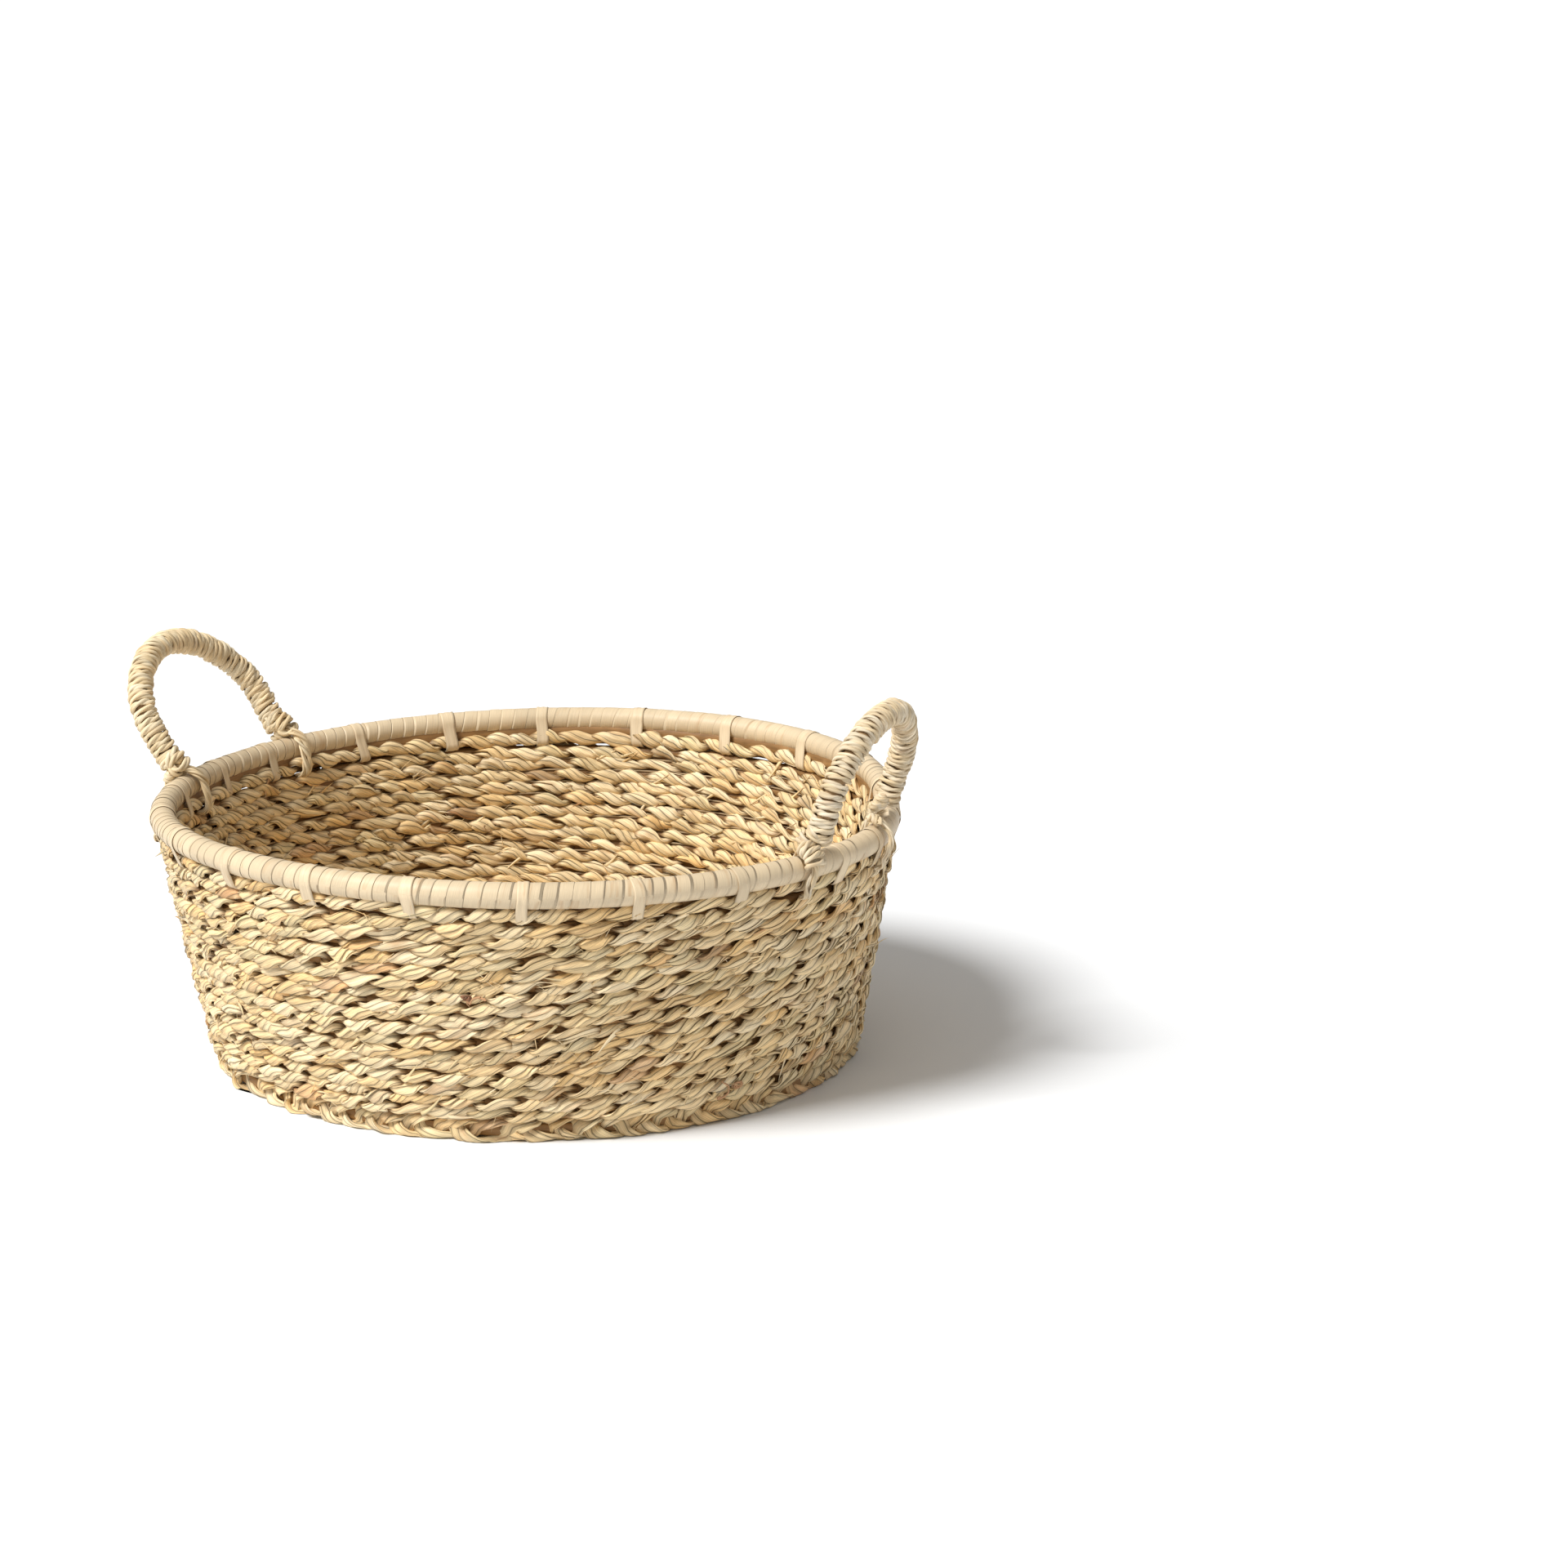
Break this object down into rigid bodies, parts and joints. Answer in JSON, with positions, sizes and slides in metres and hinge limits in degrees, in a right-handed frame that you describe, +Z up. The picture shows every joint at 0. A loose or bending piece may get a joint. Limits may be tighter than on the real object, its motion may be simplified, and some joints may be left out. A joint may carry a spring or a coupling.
{
  "type": "storage basket",
  "caption": "Round, low seagrass basket with flared plaited wall, wrapped hoop rim and tilting wrapped loop handles at opposite ends",
  "frame": {"origin": "centre of the round underside, on the surface that the basket stands on", "axes": "+Z up; X runs through the two handles, +X to the right-hand one; Y across the handles"},
  "size_m": [0.4679, 0.4146, 0.2164],
  "materials": {
    "seagrass_plait": "dry flat seagrass blades in a three-strand plait, straw coloured with green, amber and brown blades",
    "rim_strip": "smooth split palm strip, cream, slightly glossy",
    "handle_cord": "pale twisted seagrass cord",
    "cane_core": "bent cane",
    "seam_thread": "thin twisted fibre thread"
  },
  "bodies": {
    "basket": {"wall_course_01": "seagrass_plait", "wall_course_02": "seagrass_plait", "wall_course_03": "seagrass_plait", "wall_course_04": "seagrass_plait", "wall_course_05": "seagrass_plait", "wall_course_06": "seagrass_plait", "wall_course_07": "seagrass_plait", "wall_course_08": "seagrass_plait", "wall_course_09": "seagrass_plait", "wall_course_10": "seagrass_plait", "wall_course_11": "seagrass_plait", "wall_course_12": "seagrass_plait", "wall_course_13": "seagrass_plait", "wall_course_14": "seagrass_plait", "wall_course_15": "seagrass_plait", "wall_course_16": "seagrass_plait", "wall_course_17": "seagrass_plait", "wall_course_18": "seagrass_plait", "floor_edge_course": "seagrass_plait", "floor_coil": "seagrass_plait", "seam_thread": "seam_thread", "rim_hoop": "cane_core", "rim_wrap": "rim_strip", "rim_lashing_strips": "rim_strip", "left_handle_lashing_tails": "handle_cord", "right_handle_lashing_tails": "handle_cord"},
    "left_handle": {"left_handle_core": "cane_core", "left_handle_wrap": "handle_cord", "left_handle_lashing_front": "handle_cord", "left_handle_lashing_rear": "handle_cord"},
    "right_handle": {"right_handle_core": "cane_core", "right_handle_wrap": "handle_cord", "right_handle_lashing_front": "handle_cord", "right_handle_lashing_rear": "handle_cord"}
  },
  "joints": [
    {"name": "left_handle_tilt", "type": "hinge", "parent": "basket", "child": "left_handle", "pos_m": [-0.19299, 0, 0.1364], "axis": [0, -1, 0], "range_deg": [-44, 11]},
    {"name": "right_handle_tilt", "type": "hinge", "parent": "basket", "child": "right_handle", "pos_m": [0.19464, 0, 0.1364], "axis": [0, 1, 0], "range_deg": [-25, 30]}
  ]
}
